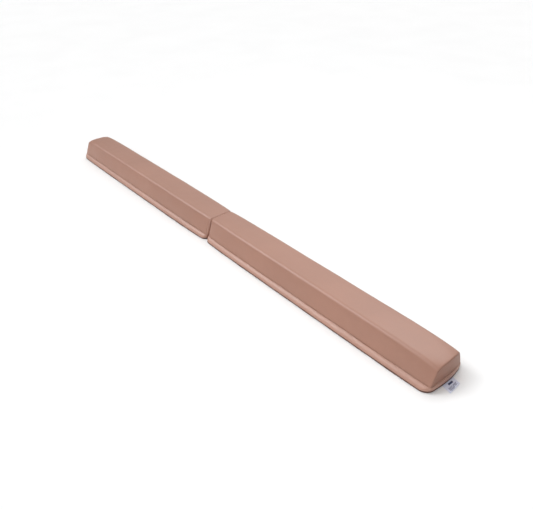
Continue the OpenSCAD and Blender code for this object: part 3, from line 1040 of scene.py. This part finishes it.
def zipper_pull(side, s):
    """Tab with a round end and a hole, two arms, and the pin that turns in the slider's bridge."""
    c, _ = slider_middle()
    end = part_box("right_zipper_pull")[0].x
    pin_w, pin_r, arm_r, tab_r, hole_r = 0.0051, 0.0006, 0.0008, 0.003, 0.0015
    w0, w1 = 0.0046, 0.0056
    ends = [math.pi / 2 + math.pi * i / 12 for i in range(13)]
    tab = [(end + tab_r + tab_r * math.cos(a), tab_r * math.sin(a)) for a in ends]
    waist = [(c - 0.0125, -0.0024), (c - 0.0070, -0.0030), (c - 0.0052, -0.0030)]
    tab += waist + [(u, -v) for u, v in waist[::-1]]
    pin = [(c + pin_r * math.cos(a), pin_w + pin_r * math.sin(a)) for a in np.arange(16) / 16 * 2 * math.pi]
    arm = [(c + arm_r * math.cos(a), pin_w + arm_r * math.sin(a)) for a in np.linspace(-1.9, 1.9, 11)]
    arm = [(c - 0.0062, w0)] + arm + [(c - 0.0062, w1)]
    prisms = [lying(tab, w0, w1), upright(pin, -0.0030, 0.0030)]
    prisms += [upright(arm, -0.0030, -0.0018), upright(arm, 0.0018, 0.0030)]
    pull = metal_piece(f"{side}_zipper_pull_tab", s, prisms, f"{side}_pull", f"{side}_zipper_pull", 0.00020)
    cut = bmesh.new()
    bmesh.ops.create_cone(cut, segments=28, radius1=hole_r, radius2=hole_r, depth=0.004, cap_ends=True)
    me = bpy.data.meshes.new("hole_cutter")
    cut.to_mesh(me)
    cut.free()
    cutter = bpy.data.objects.new("hole_cutter", me)
    scene.collection.objects.link(cutter)
    hole_at = Vector(from_zip(end + tab_r, 0.0, pin_w))
    hole_at.x *= s
    turn = Vector(ZIP_UP).to_track_quat("Z", "X").to_matrix().to_4x4()
    cutter.matrix_world = Matrix.Translation(hole_at) @ turn
    bpy.context.view_layer.update()
    hole = pull.modifiers.new("hole", "BOOLEAN")
    hole.object, hole.operation, hole.solver = cutter, "DIFFERENCE", "EXACT"
    pull.modifiers.move(1, 0)
    apply_mods(pull)
    bpy.data.objects.remove(cutter)


# ---------------- fold strip and label
def hinge():
    """Sewn strip across the fold: a leaf down each inner end and a shallow valley that closes the crease."""
    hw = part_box("hinge_tape")[1].y
    e, n, _ = (float(v[M // 2]) for v in corner(RC_IN, PHI_IN, 1.0))
    edge, top = X_IN + e, H - n
    ys = np.linspace(-hw, hw, 61)
    prof = [(edge + 0.0034, top - 0.0034), (edge + 0.0018, top - 0.0016), (edge + 0.0006, top - 0.0005),
            (edge - 0.0004, top - 0.0001), (edge - 0.0012, top - 0.0003),
            (0.0008, top - 0.0007), (0.0004, top - 0.0009), (0.0, top - 0.0010)]
    prof += [(-x, z) for x, z in prof[:-1][::-1]]
    puckers = Waves(5, .010, .022, 6)(ys, ys * 0) * 0.00010
    fall = 0.0010 * np.clip((np.abs(ys) - (hw - 0.010)) / 0.010, 0, 1) ** 2

    def line(x, z):
        return pillow(np.stack([np.full(len(ys), x), ys, np.full(len(ys), z)], 1))

    P = np.array([line(abs(x), z) * [np.sign(x), 1, 1] for x, z in prof])
    P[..., 2] += puckers - fall
    ob = make_obj("fold_hinge_strip", P.reshape(-1, 3), grid_faces(len(prof), len(ys)), MAT["hinge"])
    facing_out(ob, (0, 0, -1))
    apply_mods(thicken(ob, 0.0007))
    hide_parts("hinge_tape")
    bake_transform(ob)
    zs = np.linspace(top - 0.0105, top - 0.0040, 8)
    for side, s in SIDES:
        Q = np.array([line(X_IN - 0.00040, z) * [s, 1, 1] for z in zs])
        leaf = make_obj(f"{side}_hinge_leaf", Q.reshape(-1, 3), grid_faces(len(zs), len(ys)), MAT["hinge"])
        facing_out(leaf, (s * 0.5, 0, 0.05))
        place(thicken(leaf, 0.0004), f"{side}_half")


def label():
    """Care label lying on the floor, its free end slightly curled, with plain bars for print."""
    lo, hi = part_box("care_label")
    w, x0 = hi.y - lo.y, lo.x
    out = hi.x - lo.x + 0.0085

    def surf(u, v, lift=0.0):
        x = x0 + out * u - 0.0050 * (v - 0.35) * u
        y = lo.y + w * v - 0.0075 * u
        curl = 0.0022 * np.clip((u - 0.12) / 0.88, 0, 1) ** 1.6
        z = 0.00028 + curl * (0.55 + 0.45 * np.cos((v - 0.72) * 2.9)) + 0.0003 * np.sin(v * 9.0 + 0.6) * u
        return np.stack([x, y, z + lift], -1)

    def patch(u0, u1, v0, v1, nu, nv, lift=0.0):
        u, v = np.meshgrid(np.linspace(u0, u1, nu), np.linspace(v0, v1, nv), indexing="ij")
        return surf(u, v, lift).reshape(-1, 3), grid_faces(nu, nv)

    ob = make_obj("care_label_satin", *patch(0, 1, 0, 1, 25, 31), MAT["label"])
    facing_out(ob, (x0, 0, -1))
    apply_mods(thicken(ob, 0.00022, offset=0.0))
    place(ob, "right_half", "care_label")
    # each bar: middle, start, stop and width, as shares of the label
    bars = [(0.30, 0.36, 0.74, 0.22), (0.60, 0.14, 0.50, 0.05), (0.60, 0.56, 0.86, 0.05),
            (0.70, 0.14, 0.40, 0.05), (0.70, 0.46, 0.80, 0.05), (0.80, 0.14, 0.60, 0.05),
            (0.80, 0.66, 0.86, 0.05), (0.90, 0.20, 0.52, 0.04)]
    parts = [patch(u - wide / 2, u + wide / 2, v0, v1, 5, 14, 0.00016) for u, v0, v1, wide in bars]
    ink = make_obj("care_label_print", *merged(parts), MAT["ink"])
    facing_out(ink, (x0, 0, -1))
    apply_mods(thicken(ink, 0.00003, offset=1.0))
    place(ink, "right_half")


half("right", 1, 100)
half("left", -1, 300)
for side, s in SIDES:
    foam_blocks(side, s)
for side, s in SIDES:
    for build in (zipper_tape, zipper_teeth, zipper_stitches, zipper_stops, zipper_slider, zipper_pull):
        build(side, s)
hinge()
label()

# ---------------- floor and backdrop
bpy.ops.mesh.primitive_plane_add(size=60, location=(0, 0, -0.0002))
floor = bpy.context.object
floor.name = "studio_floor"
floor_mat, floor_nt, floor_v = new_mat("studio_floor")
pale = ramp(floor_nt, noise(floor_nt, floor_v, 3.0, 2.0, 0.5), [(0.3, grey(0.93)), (0.7, grey(0.95))])
floor.data.materials.append(finished(floor_mat, color=pale, rough=0.9, spec=0.1))

# a pale backdrop that only the camera sees, so it lights nothing
bpy.ops.mesh.primitive_uv_sphere_add(segments=48, ring_count=24, radius=28)
backdrop = bpy.context.object
backdrop.name = "studio_backdrop"
pale_sky, _, _ = new_mat("studio_backdrop")
finished(pale_sky, color=(0, 0, 0, 1), spec=0.0, glow=(1, 1, 1, 1), glow_power=0.93)
backdrop.data.materials.append(pale_sky)
for kind in ("diffuse", "glossy", "transmission", "volume_scatter", "shadow"):
    setattr(backdrop, f"visible_{kind}", False)

# ---------------- lights
SKY = 0.12
# direction, sharpness and strength of each soft light: front, back, above, low by the free end, key
GLOWS = [
    ((-0.34, -0.62, 0.66), 9.0, 1.4),
    ((-0.40, 0.56, 0.70), 9.0, 2.0),
    ((-0.56, -0.20, 0.78), 9.0, 0.9),
    ((0.75, -0.35, 0.50), 4.0, 0.85),
    ((-0.62, -0.40, 0.68), 45.0, 7.6),
]
FILL_WATTS = 5.0
world = bpy.data.worlds.new("studio")
scene.world = world
world.use_nodes = True
wnt = world.node_tree
bg = wnt.nodes["Background"]
wdir = node(wnt, "ShaderNodeTexCoord").outputs["Generated"]


def glow(towards, sharp, strength):
    """A broad soft light in the surroundings, brightest towards a direction."""
    v = wnt.nodes.new("ShaderNodeVectorMath")
    v.operation = "DOT_PRODUCT"
    wnt.links.new(wdir, v.inputs[0])
    v.inputs[1].default_value = Vector(towards).normalized()
    lit = math_node(wnt, "POWER", math_node(wnt, "MAXIMUM", v.outputs["Value"], 0.0), sharp)
    return math_node(wnt, "MULTIPLY", lit, strength)


light = glow(*GLOWS[0])
for lobe in GLOWS[1:]:
    light = math_node(wnt, "ADD", light, glow(*lobe))
wnt.links.new(math_node(wnt, "ADD", light, SKY), bg.inputs["Strength"])
bg.inputs["Color"].default_value = (1.0, 1.0, 1.0, 1)

fill_at, fill_to = Vector((0.5, 0.9, 1.5)), Vector((0.7, 0, 0))
fill_data = bpy.data.lights.new("near_fill", "AREA")
fill_data.shape, fill_data.size, fill_data.size_y = "RECTANGLE", 1.0, 1.0
fill_data.energy = FILL_WATTS
fill = bpy.data.objects.new("near_fill", fill_data)
scene.collection.objects.link(fill)
fill.location = fill_at
fill.rotation_mode = "QUATERNION"
fill.rotation_quaternion = (fill_to - fill_at).to_track_quat("-Z", "Y")

# ---------------- camera
AZ, PITCH, ROLL = -0.89033, 0.58213, -0.02234     # radians
CAM_AT = (1.6401, -1.1096, 1.1943)
LENS_PX, PHOTO_W, SENSOR = 590.4, 533, 36.0       # lens in pixels, photo width, sensor in millimetres
fwd = Vector((math.sin(AZ) * math.cos(PITCH), math.cos(AZ) * math.cos(PITCH), -math.sin(PITCH)))
level = fwd.cross(Vector((0, 0, 1))).normalized()
above = level.cross(fwd)
cam_x = level * math.cos(ROLL) + above * math.sin(ROLL)
cam_y = above * math.cos(ROLL) - level * math.sin(ROLL)
cam_data = bpy.data.cameras.new("camera")
cam = bpy.data.objects.new("camera", cam_data)
scene.collection.objects.link(cam)
cam_data.sensor_width = SENSOR
cam_data.lens = LENS_PX / PHOTO_W * SENSOR
cam_data.clip_start, cam_data.clip_end = 0.01, 100
turn = Matrix((cam_x, cam_y, -fwd)).transposed().to_4x4()
cam.matrix_world = Matrix.Translation(CAM_AT) @ turn
scene.camera = cam
scene.view_settings.view_transform = "Standard"
scene.view_settings.look = "None"
